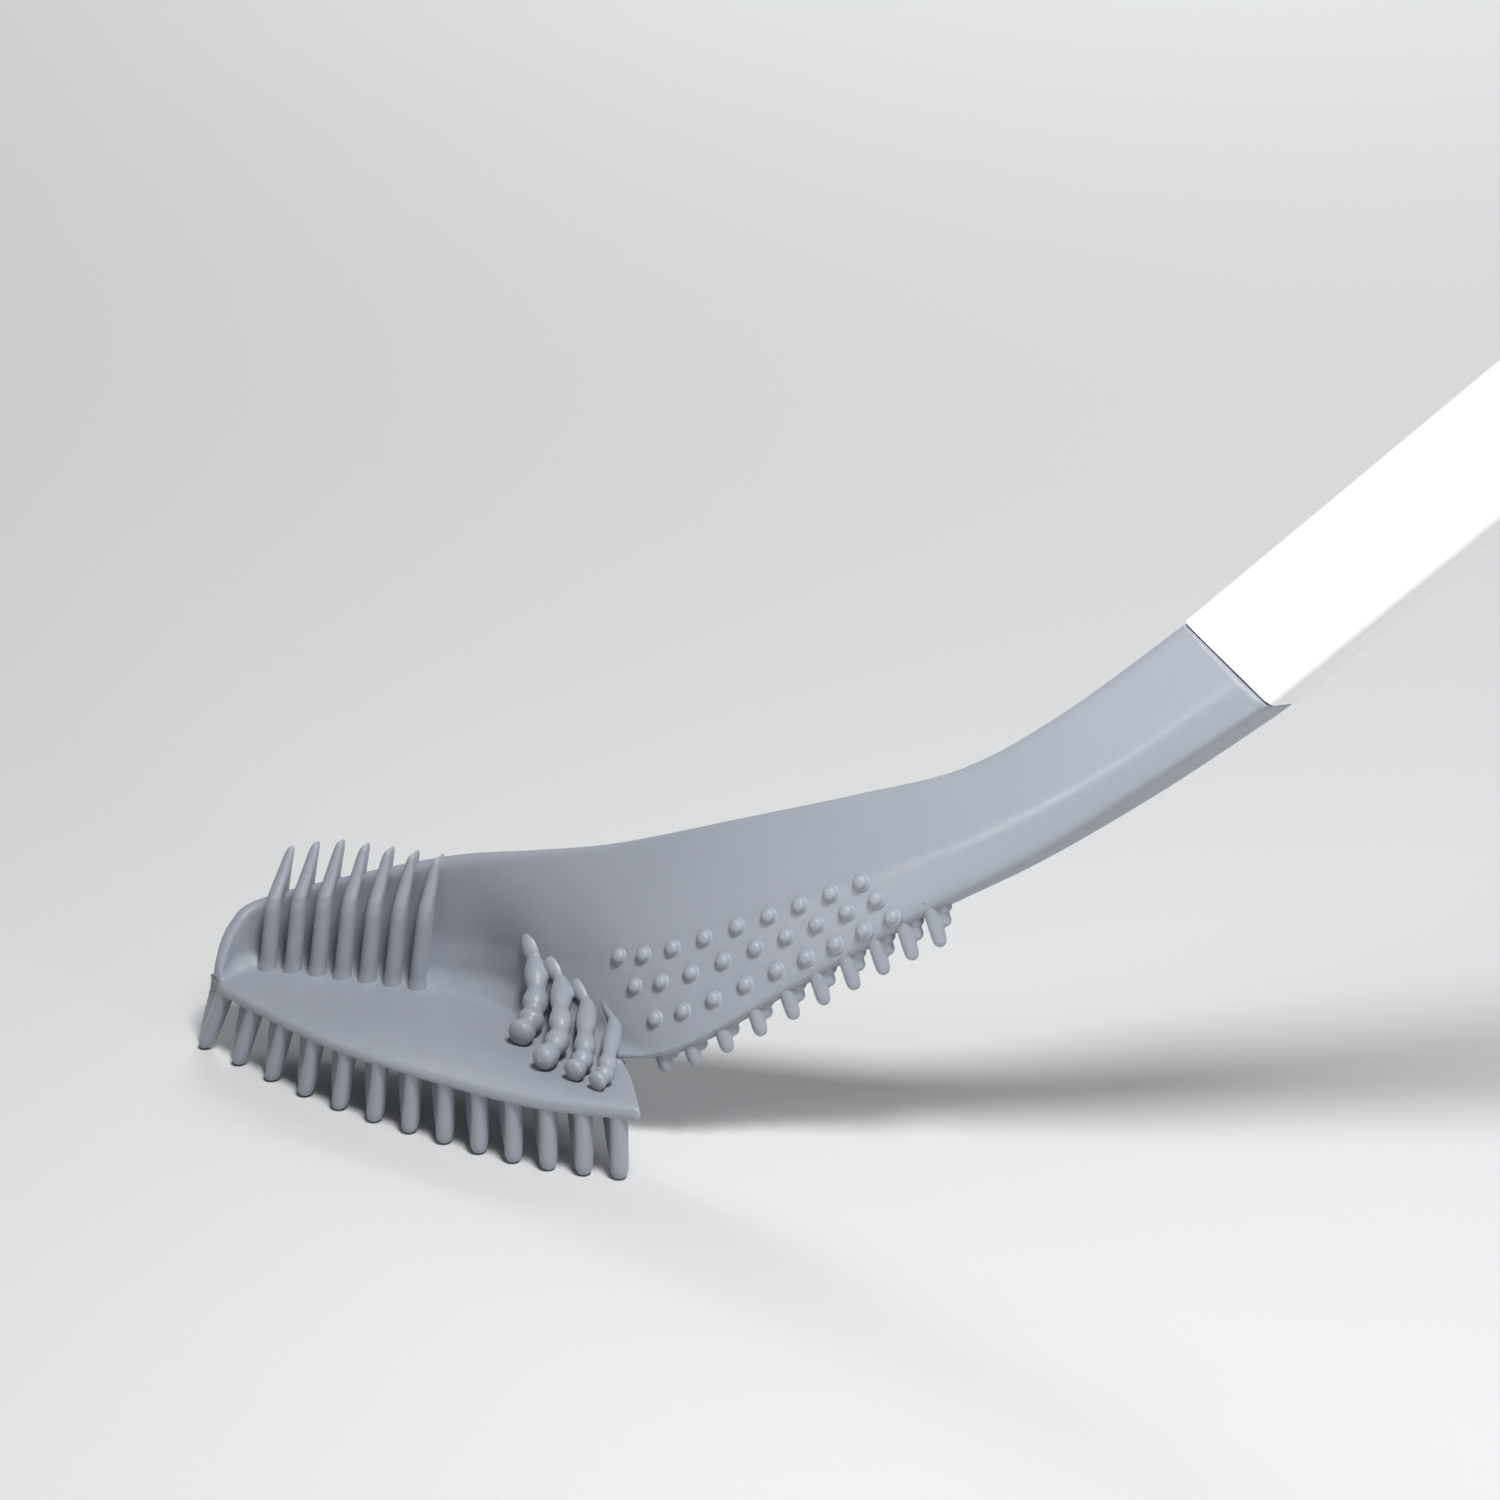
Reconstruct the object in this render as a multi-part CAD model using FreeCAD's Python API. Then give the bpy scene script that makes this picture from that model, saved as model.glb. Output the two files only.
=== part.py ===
"""Golf-club shaped toilet brush: a soft moulded head plugged onto a flat hollow handle.

Millimetres, +Z up.  The brush stands in the attitude it is used in: the sole is level, the
toe points along -X, the open side of the foot faces -Y and the handle climbs along +X at 45
degrees.  Shapes are drawn from the crease of the foot and moved at export, so that the
origin of every part is the centre of the hanging hole in the handle's end.
"""
import FreeCAD, Part
import os
from math import cos, radians, sin
from FreeCAD import Vector

# ---- handle -----------------------------------------------------------------------------
HANDLE_RISE = 45.0          # climb of the handle above the level
HANDLE_ROLL = 20.0          # lean of the flat face towards the sky, about the handle's length
JOINT_CENTRE = Vector(144.9, -7.8, 89.9)   # middle of the seam between head and handle
HANDLE_LENGTH = 190.0
HANDLE_WIDTH = 22.6
HANDLE_FRONT = 6.5          # flat face above the middle of the spigot
ROOT_BACK = 6.5             # back face below the middle of the spigot, at the seam
GRIP_BACK = 3.5             # the same along the grip, where the handle is thinner
FLARE_START = 12.0          # the back runs from the root depth to the grip depth
FLARE_END = 70.0
HANDLE_WALL = 2.0
SHELL_SPLIT = 1.5           # parting plane of the two shells, above the spigot's middle
EDGE_ROUND = 2.0
SEAM_SLANT = 12.0           # the seam is cut this far from square
SEAM_HALF = 0.3             # half the thickness of the ring in the seam
RING_SKIN = 0.8             # the ring stays this far inside the outer skin
HOLE_FROM_END = 12.0
HOLE_RADIUS = 4.0
EYELET_WALL = 1.4
OVERRUN = 20.0              # the handle is drawn this far past the seam, then cut there
HOLLOW_START = 5.0          # where the hollow of the handle begins
LARGE = 400.0               # side of a block that cuts everything on one side of a plane

# ---- push fit between handle and head ----------------------------------------------------
SPIGOT_REACH = 27.0         # into the head
SPIGOT_HELD = 30.0          # inside the handle
SPIGOT_WIDTH = 12.0
SPIGOT_THICK = 5.6
SPIGOT_TIP_WIDTH = 9.0
SPIGOT_TIP_THICK = 3.6
SPIGOT_PLAY = 0.3
SOCKET_WALL = 1.0
SOCKET_FLOOR = 1.5
SOCKET_MOUTH = 2.6          # the socket starts this far inside the neck
SPIGOT_OPEN = 8.0           # the room for the tongue is cut this far past the seam
CROSS_HOLE_RADIUS = 2.0     # hole in the held end of the tongue, for a moulded key
CROSS_HOLE_FROM_END = 8.0

# ---- foot -------------------------------------------------------------------------------
PLATE_THICK = 3.0
PLATE_FRONT = [(-59.2, -10.5), (-47.0, -17.5), (-27.0, -28.0), (-3.0, -36.0), (20.0, -41.0), (41.0, -40.0)]
PLATE_BACK = [(34.0, -26.0), (25.0, -13.0), (14.0, -4.0), (0.0, 5.0), (-22.0, 6.5), (-48.0, 6.5),
              (-61.4, -5.0)]
FIN_LENGTH = 13.0           # of the fins that hang from the front of the sole
SOLE_FINS = 13
FIN_FIRST_TIP = -63.0       # x of the first tip; the steps shrink a little towards the heel
FIN_STEP = 9.65
FIN_STEP_SHRINK = 0.117
FIN_SET_BACK = 2.3          # from the front edge of the plate to the middle of a fin
FIN_RADIUS = 1.75
FIN_TIP_RADIUS = 1.5
FIN_WEB = 6.0
FIN_WEB_THICK = 1.0
FIN_WEB_WAY = Vector(-0.85, 0.53, 0.0)
TOE_LEAN = 5.5              # the first fin leans this far towards the toe, the last not at all
ROOT_SINK = 1.0             # how far moulded roots run into what they stand on

# ---- neck, blade and wall -----------------------------------------------------------------
# Each rib of the skin: top edge, bottom edge, thickness, how far the ridge stands proud, and
# the ridge's share of the way from the top edge to the bottom edge.
RIBS = [
    (Vector(133.3, -10.0, 96.0), Vector(151.1, -18.0, 84.9), 13.0, 1.5, 0.72),
    (Vector(112.0, -9.5, 77.0), Vector(130.0, -18.0, 67.5), 12.0, 1.8, 0.70),
    (Vector(93.0, -8.5, 63.5), Vector(109.0, -18.0, 51.0), 8.0, 1.9, 0.65),
    (Vector(72.0, -7.0, 55.0), Vector(88.0, -18.5, 37.0), 5.5, 1.5, 0.60),
    (Vector(47.0, -5.5, 46.0), Vector(64.0, -20.0, 19.8), 5.0, 0.8, 0.58),
    (Vector(22.0, -3.0, 37.0), Vector(38.0, -22.8, 3.0), 5.0, 0.0, 0.56),
]
WALL_RIBS = [
    RIBS[-1],
    (Vector(4.0, -1.0, 32.0), Vector(17.0, -13.5, -1.0), 4.5, -1.2, 0.60),
    (Vector(-14.0, 0.5, 27.0), Vector(-3.0, 0.0, -1.0), 4.5, -1.0, 0.60),
    (Vector(-35.0, 2.0, 20.0), Vector(-32.0, 1.0, -1.0), 4.0, -0.6, 0.60),
    (Vector(-52.0, 2.0, 13.5), Vector(-52.0, 1.5, -1.0), 3.5, -0.4, 0.60),
    (Vector(-57.5, -2.5, 9.5), Vector(-58.0, -3.0, -1.0), 2.8, 0.0, 0.60),
    (Vector(-59.3, -8.3, 0.8), Vector(-59.3, -8.8, -1.0), 2.0, 0.0, 0.60),
]
LEAD_IN = 4.0               # the neck is drawn this far past the seam, then cut there
STIFFENER_SHARE = 0.35      # the buried strip's section, against the skin's

EDGE_FINS = 10
EDGE_FIN_START = 4.2        # length of the first fin, at the heel
EDGE_FIN_END = 8.0
EDGE_FIN_RADIUS = 1.5
EDGE_FIN_FIRST = 0.985      # share of the way down the blade's lower edge, at the heel
EDGE_FIN_LAST = 0.265
EDGE_FIN_WAY = Vector(0.3, 0.0, -1.0)
EDGE_FIN_SET_BACK = 2.5     # behind the front of the blade's edge
LOBE_STEP = Vector(1.4, 1.0, 0.7)   # from a tooth's finger to the shorter lobe beside it
LOBE_SHARE = 0.6            # of the finger's length
NUB_ROWS = 3
NUBS_IN_ROW = 9
NUB_RADIUS = 1.25
NUB_FIRST = 0.985           # share of the way down the blade, at the heel
NUB_LAST = 0.32
NUB_LOWEST = 0.88           # share of the way across the blade, of the lowest row
NUB_ROW_GAP = 0.15
NUB_OUT = Vector(0.0, -0.8, 0.0)    # the facet stands proud of the straight line across a rib
TOE_FIN_STEP = 5.35
TOE_FIN_START = -52.3
TOE_FIN_LEAN = 0.15         # towards the heel, for each millimetre of height
TOE_FIN_THICK = 1.4
# Foot, knee and tip of a fin's front edge, then the top and foot of its root in the wall.
TOE_FIN_OUTLINE = [(-1.8, -1.0), (-2.3, 16.8), (4.2, 27.0), (4.5, 15.0), (3.0, -1.0)]
TOE_FIN_HEIGHTS = [0.89, 0.955, 1.0, 1.0, 1.0, 1.0, 1.0]    # share of the outline's height
TOE_ROD_RADIUS = 1.4
TOE_TIP_RADIUS = 0.9
STUD_ROWS = 2
STUDS_IN_ROW = 8
STUD_RADIUS = 1.6
STUD_START = Vector(-36.0, -4.0, 0.0)
STUD_STEP = 9.0
STUD_ROW_GAP = 10.0
STUD_SLANT = 0.5            # the rows follow the plate's slant from the crease to the heel

# Heel fingers: root, then the points that the bead centres follow, out over the plate.
FINGERS = [
    [(4.0, -2.5, 16.0), (8.6, -10.0, 7.2), (9.6, -16.0, 3.8), (9.0, -21.9, 2.4)],
    [(9.5, -6.5, 12.0), (16.0, -16.5, 6.6), (18.2, -24.0, 3.6), (17.3, -31.4, 2.3)],
    [(16.5, -10.5, 10.0), (23.3, -22.5, 5.0), (25.1, -29.0, 2.9), (24.5, -33.6, 2.1)],
    [(23.5, -14.0, 9.0), (29.8, -27.0, 3.8), (30.9, -32.5, 2.3), (30.2, -36.0, 1.9)],
]
FINGER_RADIUS = 2.6
FINGER_SHRINK = 0.13        # each finger is this much slimmer than the one before it
BEAD_NECK = 0.72            # waist between two beads, against the bead's radius

# ---- handle axes --------------------------------------------------------------------------
UP = Vector(cos(radians(HANDLE_RISE)), 0.0, sin(radians(HANDLE_RISE)))
FACE = Vector(-sin(radians(HANDLE_RISE)) * sin(radians(HANDLE_ROLL)), -cos(radians(HANDLE_ROLL)),
              cos(radians(HANDLE_RISE)) * sin(radians(HANDLE_ROLL)))
ACROSS = FACE.cross(UP)     # from the lower edge of the handle to its upper edge


def handle_point(along, across, out):
    """A place given along the handle from the seam, across it, and out through its flat face."""
    return JOINT_CENTRE + UP * along + ACROSS * across + FACE * out


def place_on_handle(shape):
    """Turn a shape drawn with X along, Y across and Z out of the handle into its place."""
    turn = FreeCAD.Matrix(UP.x, ACROSS.x, FACE.x, JOINT_CENTRE.x,
                          UP.y, ACROSS.y, FACE.y, JOINT_CENTRE.y,
                          UP.z, ACROSS.z, FACE.z, JOINT_CENTRE.z,
                          0.0, 0.0, 0.0, 1.0)
    placed = shape.copy()
    placed.Placement = FreeCAD.Placement(turn).multiply(placed.Placement)
    return placed


def polygon_face(points):
    return Part.Face(Part.makePolygon(list(points) + [points[0]]))


def slab(points, thickness):
    """A flat plate of the given outline, with its thickness shared to both sides."""
    face = polygon_face(points)
    normal = face.normalAt(0, 0)
    face.translate(normal * (-thickness / 2))
    return face.extrude(normal * thickness)


def rod(start, end, start_radius, end_radius):
    """A round tapering rod with a domed tip."""
    run = end - start
    if abs(start_radius - end_radius) < 0.01:
        body = Part.makeCylinder(start_radius, run.Length, start, run)
    else:
        body = Part.makeCone(start_radius, end_radius, run.Length, start, run)
    return body.fuse(Part.makeSphere(end_radius, end)).removeSplitter()


def spline(points):
    curve = Part.BSplineCurve()
    curve.interpolate(points)
    return curve


def along(points, share):
    """The place at a share of the way, by length, along straight runs through some points."""
    runs = [(b - a).Length for a, b in zip(points, points[1:])]
    left = share * sum(runs)
    for start, end, run in zip(points, points[1:], runs):
        if left <= run:
            return start + (end - start) * (left / run)
        left -= run
    return points[-1]


# ---- handle parts -------------------------------------------------------------------------
def handle_plan(inset):
    """Outline across the handle: straight sides and a half-round end."""
    half = HANDLE_WIDTH / 2 - inset
    turn = HANDLE_LENGTH - HANDLE_WIDTH / 2
    start = -OVERRUN if inset == 0 else HOLLOW_START
    arc = Part.Arc(Vector(turn, half, 0), Vector(turn + half, 0, 0), Vector(turn, -half, 0))
    sides = [Part.LineSegment(Vector(start, half, 0), Vector(turn, half, 0)), arc,
             Part.LineSegment(Vector(turn, -half, 0), Vector(start, -half, 0)),
             Part.LineSegment(Vector(start, -half, 0), Vector(start, half, 0))]
    return Part.Face(Part.Wire([side.toShape() for side in sides]))


def handle_profile(inset):
    """Outline seen on the handle's edge: a flat front and a back that thins along the grip."""
    front = HANDLE_FRONT - inset
    root = -ROOT_BACK + inset
    grip = -GRIP_BACK + inset
    bend = (FLARE_END - FLARE_START) / 3
    flare = Part.BezierCurve()
    flare.setPoles([Vector(FLARE_START, 0, root), Vector(FLARE_START + bend, 0, root),
                    Vector(FLARE_END - bend, 0, grip), Vector(FLARE_END, 0, grip)])
    near, far = -OVERRUN, HANDLE_LENGTH + OVERRUN
    runs = [((near, front), (near, root)), ((near, root), (FLARE_START, root)),
            ((FLARE_END, grip), (far, grip)), ((far, grip), (far, front)), ((far, front), (near, front))]
    edges = [Part.LineSegment(Vector(a, 0, b), Vector(c, 0, d)).toShape() for (a, b), (c, d) in runs]
    return Part.Face(Part.Wire(edges[:2] + [flare.toShape()] + edges[2:]))


def handle_block(inset):
    plan = handle_plan(inset)
    plan.translate(Vector(0, 0, -LARGE / 2))
    profile = handle_profile(inset)
    profile.translate(Vector(0, -LARGE / 2, 0))
    return plan.extrude(Vector(0, 0, LARGE)).common(profile.extrude(Vector(0, LARGE, 0)))


def seam_cutter(offset):
    """Everything beyond the slanting seam, on the handle's side, moved along by an offset."""
    box = Part.makeBox(LARGE, LARGE, LARGE, Vector(0, -LARGE / 2, -LARGE / 2))
    box.rotate(Vector(0, 0, 0), Vector(0, 0, 1), SEAM_SLANT)
    box.translate(Vector(offset, 0, 0))
    return box


def rounded_handle():
    """The outside of the handle, its long edges rounded before it is cut at the seam."""
    block = handle_block(0.0)
    lengthwise = [edge for edge in block.Edges
                  if edge.BoundBox.XMax > 0 and edge.BoundBox.XLength > EDGE_ROUND]
    return block.makeFillet(EDGE_ROUND, lengthwise)


def hang_hole(radius):
    return Part.makeCylinder(radius, LARGE, Vector(HANDLE_LENGTH - HOLE_FROM_END, 0, -LARGE / 2))


def handle_shells():
    shell = rounded_handle().common(seam_cutter(SEAM_HALF)).cut(handle_block(HANDLE_WALL))
    shell = shell.cut(hang_hole(HOLE_RADIUS + EYELET_WALL))
    shell = shell.cut(spigot_block(-SPIGOT_OPEN, SPIGOT_HELD, 0.0))
    front_side = Part.makeBox(2 * LARGE, LARGE, LARGE, Vector(-LARGE, -LARGE / 2, SHELL_SPLIT))
    return shell.common(front_side), shell.cut(front_side)


def hanging_eyelet():
    """A bush through both shells, so that a hook doesn't wear the hole."""
    height = HANDLE_FRONT + GRIP_BACK
    base = Vector(HANDLE_LENGTH - HOLE_FROM_END, 0, -GRIP_BACK)
    bush = Part.makeCylinder(HOLE_RADIUS + EYELET_WALL, height, base)
    return bush.cut(hang_hole(HOLE_RADIUS))


def seam_ring():
    """A thin flat ring that fills the seam round the spigot, just inside the outer skin."""
    plate = Part.makeBox(LARGE, HANDLE_WIDTH - 2 * RING_SKIN, HANDLE_FRONT + ROOT_BACK - 2 * RING_SKIN,
                         Vector(-LARGE / 2, -HANDLE_WIDTH / 2 + RING_SKIN, -ROOT_BACK + RING_SKIN))
    ring = plate.common(seam_cutter(0.0)).cut(seam_cutter(SEAM_HALF))
    return ring.cut(spigot_block(-SPIGOT_OPEN, SPIGOT_OPEN, 0.0))


# ---- push fit -----------------------------------------------------------------------------
def spigot_block(start, end, play):
    """The tongue's outside between two stations; it tapers on the head's side only."""
    def station(place):
        share = max(0.0, min(1.0, -place / SPIGOT_REACH))
        half_width = (SPIGOT_WIDTH + (SPIGOT_TIP_WIDTH - SPIGOT_WIDTH) * share) / 2 + play
        half_thick = (SPIGOT_THICK + (SPIGOT_TIP_THICK - SPIGOT_THICK) * share) / 2 + play
        corners = [(-half_width, -half_thick), (half_width, -half_thick),
                   (half_width, half_thick), (-half_width, half_thick)]
        return Part.makePolygon([Vector(place, y, z) for y, z in corners + corners[:1]])
    places = [start, 0.0, end] if start < 0.0 < end else [start, end]
    return Part.makeLoft([station(place) for place in places], True, True)


def spigot():
    """The handle's tongue: it is clamped between the shells and pushed into the head."""
    tongue = spigot_block(-SPIGOT_REACH, SPIGOT_HELD, 0.0)
    middle = Vector(SPIGOT_HELD - CROSS_HOLE_FROM_END, 0, -SPIGOT_THICK)
    return tongue.cut(Part.makeCylinder(CROSS_HOLE_RADIUS, 2 * SPIGOT_THICK, middle))


def head_socket():
    """Rigid liner moulded into the neck, which grips the tongue."""
    back = -SPIGOT_REACH - SOCKET_FLOOR
    wall = SPIGOT_PLAY + SOCKET_WALL
    outside = spigot_block(back, -SOCKET_MOUTH, wall)
    inside = spigot_block(-SPIGOT_REACH - SPIGOT_PLAY, SPIGOT_OPEN, SPIGOT_PLAY)
    return outside.cut(inside)


# ---- head ---------------------------------------------------------------------------------
def rib_wire(ribs, number, shrink=1.0):
    """One closed section of the skin, flat, with the ridge standing proud of the front."""
    top, bottom, thick, proud, ridge = ribs[number]
    before = ribs[max(number - 1, 0)]
    after = ribs[min(number + 1, len(ribs) - 1)]
    tangent = (before[0] + before[1]) - (after[0] + after[1])
    down = bottom - top
    inward = down.cross(tangent)
    inward.normalize()
    if inward.y < 0:
        inward = inward * -1
    middle = (top + bottom) * 0.5 + inward * (thick / 2)
    corners = [top, top + down * ridge - inward * proud, bottom, bottom + inward * thick,
               top + inward * thick]
    corners = [middle + (corner - middle) * shrink for corner in corners]
    return Part.makePolygon(corners + corners[:1])


def skin(ribs, first, last, shrink=1.0, straight=False):
    wires = [rib_wire(ribs, number, shrink) for number in range(first, last + 1)]
    return Part.makeLoft(wires, True, straight)


def stiffener():
    """A thin rigid strip buried in the neck and blade, which keeps them from folding."""
    return skin(RIBS, 2, 5, STIFFENER_SHARE)


def neck_and_blade():
    """The neck runs on past the seam before it is cut there; the blade takes over from it."""
    top, bottom, *rest = RIBS[0]
    lead_in = [(top + UP * LEAD_IN, bottom + UP * LEAD_IN, *rest)]
    neck = skin(lead_in + RIBS, 0, 4)
    socket = place_on_handle(head_socket())
    around = SPIGOT_PLAY + SOCKET_WALL
    room = place_on_handle(spigot_block(-SPIGOT_REACH - SOCKET_FLOOR, SPIGOT_OPEN, around))
    beyond = place_on_handle(seam_cutter(-SEAM_HALF))
    neck = neck.cut(room).cut(beyond).cut(stiffener())
    blade = skin(RIBS, 3, 5).cut(stiffener())
    return neck, blade, socket


def foot_wall():
    """The upright wall from the heel to the toe; its foot runs a little into the plate."""
    below_root = Part.makeBox(LARGE, LARGE, LARGE, Vector(-LARGE / 2, -LARGE / 2, -ROOT_SINK - LARGE))
    return skin(WALL_RIBS, 0, len(WALL_RIBS) - 1, straight=True).cut(below_root)


def sole_edge(places):
    return spline([Vector(x, y, 0) for x, y in places]).toShape()


def sole_plate():
    front, back = sole_edge(PLATE_FRONT), sole_edge(PLATE_BACK)
    heel = Part.LineSegment(Vector(*PLATE_FRONT[-1], 0), Vector(*PLATE_BACK[0], 0)).toShape()
    toe = Part.LineSegment(Vector(*PLATE_BACK[-1], 0), Vector(*PLATE_FRONT[0], 0)).toShape()
    outline = Part.Face(Part.Wire([front, heel, back, toe]))
    return outline.extrude(Vector(0, 0, -PLATE_THICK))


def sole_fins():
    """Finger-like fins under the front of the sole, each a rod with a thin web behind it."""
    front = sole_edge(PLATE_FRONT)
    fins = []
    for number in range(SOLE_FINS):
        tip_x = FIN_FIRST_TIP + FIN_STEP * number - FIN_STEP_SHRINK * number ** 2
        lean = TOE_LEAN * (1 - number / (SOLE_FINS - 1)) ** 2
        across = Part.makeLine(Vector(tip_x + lean, -LARGE, 0), Vector(tip_x + lean, LARGE, 0))
        edge = across.distToShape(front)[1][0][1]
        foot = edge + Vector(0, FIN_SET_BACK, ROOT_SINK - PLATE_THICK)
        tip = foot + Vector(-lean, 0, -FIN_LENGTH - ROOT_SINK + FIN_TIP_RADIUS)
        behind_tip, behind_foot = tip + FIN_WEB_WAY * FIN_TIP_RADIUS, foot + FIN_WEB_WAY * FIN_WEB
        web = slab([foot, tip, behind_tip, behind_foot], FIN_WEB_THICK)
        fins.append(rod(foot, tip, FIN_RADIUS, FIN_TIP_RADIUS).fuse(web).removeSplitter())
    return fins


def sole_studs():
    """Low domes on the underside of the sole, in staggered rows."""
    studs = []
    for row in range(STUD_ROWS):
        for number in range(STUDS_IN_ROW):
            x = STUD_START.x + (number + row / 2) * STUD_STEP
            y = STUD_START.y - row * STUD_ROW_GAP - max(0.0, x) * STUD_SLANT
            studs.append(Part.makeSphere(STUD_RADIUS, Vector(x, y, -PLATE_THICK)))
    return studs


def toe_fins():
    """Upright fins on the wall at the toe: a rounded front edge that leans back to a tip."""
    fins = []
    for number, height in enumerate(TOE_FIN_HEIGHTS):
        x = TOE_FIN_START + number * TOE_FIN_STEP
        outline = [Vector(x + TOE_FIN_LEAN * z * height, y, z * height) for y, z in TOE_FIN_OUTLINE]
        foot, knee, tip, wall_top, wall_foot = outline
        web = slab([foot, knee, wall_top, wall_foot], TOE_FIN_THICK)
        upper = slab([knee, tip, wall_top], TOE_FIN_THICK)
        lower_rod = rod(foot, knee, TOE_ROD_RADIUS, TOE_ROD_RADIUS)
        upper_rod = rod(knee, tip, TOE_ROD_RADIUS, TOE_TIP_RADIUS)
        fins.append(web.fuse([upper, lower_rod, upper_rod]).removeSplitter())
    return fins


def blade_place(share_along, share_across):
    """A place on the blade's front: along the ribs to the heel, and down from the top edge."""
    tops = [rib[0] for rib in RIBS[2:]]
    bottoms = [rib[1] for rib in RIBS[2:]]
    top = along(tops, share_along)
    bottom = along(bottoms, share_along)
    return top + (bottom - top) * share_across


def edge_fins():
    """A comb of two-lobed teeth along the lower edge of the blade, longer away from the heel."""
    way = Vector(EDGE_FIN_WAY)
    way.normalize()
    fins = []
    for number in range(EDGE_FINS):
        up_blade = number / (EDGE_FINS - 1)
        share = EDGE_FIN_FIRST + (EDGE_FIN_LAST - EDGE_FIN_FIRST) * up_blade
        length = EDGE_FIN_START + (EDGE_FIN_END - EDGE_FIN_START) * up_blade
        root = blade_place(share, 1.0) + Vector(0, EDGE_FIN_SET_BACK, 0) - way * ROOT_SINK
        beside = root + LOBE_STEP
        finger = rod(root, root + way * length, EDGE_FIN_RADIUS, EDGE_FIN_RADIUS * 0.8)
        lobe = rod(beside, beside + way * (length * LOBE_SHARE), EDGE_FIN_RADIUS, EDGE_FIN_RADIUS * 0.9)
        fins.append(finger.fuse(lobe).removeSplitter())
    return fins


def blade_nubs():
    """Three rows of small scrubbing domes on the lower facet of the blade."""
    nubs = []
    for row in range(NUB_ROWS):
        for number in range(NUBS_IN_ROW):
            share = NUB_FIRST + (NUB_LAST - NUB_FIRST) * number / (NUBS_IN_ROW - 1)
            middle = blade_place(share, NUB_LOWEST - row * NUB_ROW_GAP) + NUB_OUT
            nubs.append(Part.makeSphere(NUB_RADIUS, middle))
    return nubs


def heel_fingers():
    """Four curled, beaded fingers in the corner between the blade and the sole plate."""
    fingers = []
    for number, places in enumerate(FINGERS):
        radius = FINGER_RADIUS * (1 - FINGER_SHRINK * number)
        points = [Vector(*place) for place in places]
        beads = [rod(start, end, radius * BEAD_NECK, radius) for start, end in zip(points, points[1:])]
        finger = beads[0].fuse(beads[1:])
        fingers.append(finger.removeSplitter())
    return fingers


# ---- write the parts ----------------------------------------------------------------------
ORIGIN = handle_point(HANDLE_LENGTH - HOLE_FROM_END, 0.0, (HANDLE_FRONT - GRIP_BACK) / 2)


def solids_of(shape):
    return [solid for item in (shape if isinstance(shape, list) else [shape]) for solid in item.Solids]


def write(name, shape):
    solids = solids_of(shape)
    group = solids[0] if len(solids) == 1 else Part.makeCompound(solids)
    group.translate(ORIGIN * -1)
    group.exportStep(os.path.join("parts", name + ".step"))
    box = group.BoundBox
    print(f"{name:20s} solids {len(solids):3d} valid {group.isValid()} volume {group.Volume:9.1f} "
          f"size {box.XLength:7.1f} {box.YLength:6.1f} {box.ZLength:7.1f}")


os.makedirs("parts", exist_ok=True)
front_shell, back_shell = handle_shells()
neck_sleeve, blade, socket = neck_and_blade()
write("handle_front_shell", place_on_handle(front_shell))
write("handle_back_shell", place_on_handle(back_shell))
write("hanging_eyelet", place_on_handle(hanging_eyelet()))
write("handle_spigot", place_on_handle(spigot()))
write("seam_ring", place_on_handle(seam_ring()))
write("neck_sleeve", neck_sleeve)
write("neck_socket", socket)
write("blade_stiffener", stiffener())
write("blade", blade)
write("foot_wall", foot_wall())
write("sole_plate", sole_plate())
write("toe_fins", toe_fins())
write("sole_fins", sole_fins())
write("sole_studs", sole_studs())
write("edge_fins", edge_fins())
write("blade_nubs", blade_nubs())
write("heel_fingers", heel_fingers())
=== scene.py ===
from math import cos, pi, radians, sin, sqrt

import bmesh
import bpy
import numpy as np
from mathutils import Matrix, Vector


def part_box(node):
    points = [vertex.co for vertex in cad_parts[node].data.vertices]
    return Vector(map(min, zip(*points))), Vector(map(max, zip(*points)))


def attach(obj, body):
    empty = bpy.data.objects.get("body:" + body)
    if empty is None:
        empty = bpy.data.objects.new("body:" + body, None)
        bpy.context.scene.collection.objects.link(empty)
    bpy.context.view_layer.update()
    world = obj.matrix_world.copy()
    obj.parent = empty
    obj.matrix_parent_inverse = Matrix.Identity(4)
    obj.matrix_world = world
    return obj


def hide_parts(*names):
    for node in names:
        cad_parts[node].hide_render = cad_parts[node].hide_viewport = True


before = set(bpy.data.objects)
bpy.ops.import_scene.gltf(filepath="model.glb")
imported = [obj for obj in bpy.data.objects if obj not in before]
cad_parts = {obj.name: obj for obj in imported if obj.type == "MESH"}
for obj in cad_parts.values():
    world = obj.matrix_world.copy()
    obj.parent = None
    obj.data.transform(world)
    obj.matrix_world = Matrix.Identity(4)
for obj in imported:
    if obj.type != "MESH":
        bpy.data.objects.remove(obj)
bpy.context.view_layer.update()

# ---- Where things are -------------------------------------------------------------------
# The brush is drawn in millimetres from the crease of its foot, where the upright wall meets
# the sole plate.  The plate's box gives that place: its top, its heel end and its front edge.
MM = 0.001
plate_low, plate_high = [Vector(corner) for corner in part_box("sole_plate")]
HEEL_END = 41.0 * MM
FRONT_EDGE = 41.42 * MM
crease = Vector((plate_high.x - HEEL_END, plate_low.y + FRONT_EDGE, plate_high.z))


def at(x, y, z):
    return crease + Vector((x, y, z)) * MM


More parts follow.
